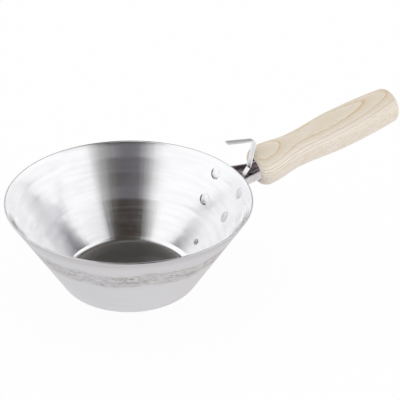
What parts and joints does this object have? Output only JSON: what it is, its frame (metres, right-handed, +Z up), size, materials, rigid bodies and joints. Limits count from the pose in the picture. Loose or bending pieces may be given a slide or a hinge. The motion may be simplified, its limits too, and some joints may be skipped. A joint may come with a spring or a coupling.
{
  "type": "masons scoop",
  "caption": "Conical steel bowl on a riveted bracket with a bucket hook and a turned wooden handle, for scooping and throwing mortar and plaster.",
  "frame": {"origin": "centre of the bowl's flat base, on the surface that it stands on", "axes": "+Z up through the bowl's mouth, +X from the bowl out along the handle, which also rises away from the rim"},
  "size_m": [0.3246, 0.18, 0.1103],
  "materials": {
    "bowl_steel": "spun and polished inside, satin and a little scuffed outside",
    "bracket_steel": "bright pressed sheet",
    "hook_steel": "dull satin strip",
    "rivet_steel": "plain satin",
    "ash_wood": "pale turned ash, sanded and left bare"
  },
  "bodies": {
    "root": {"bowl": "bowl_steel", "handle_bracket": "bracket_steel", "hook": "hook_steel", "handle": "ash_wood", "rivet_upper_left": "rivet_steel", "rivet_upper_right": "rivet_steel", "rivet_lower_left": "rivet_steel", "rivet_lower_right": "rivet_steel", "tail_rivet": "rivet_steel", "hook_rivet": "rivet_steel"}
  },
  "joints": []
}
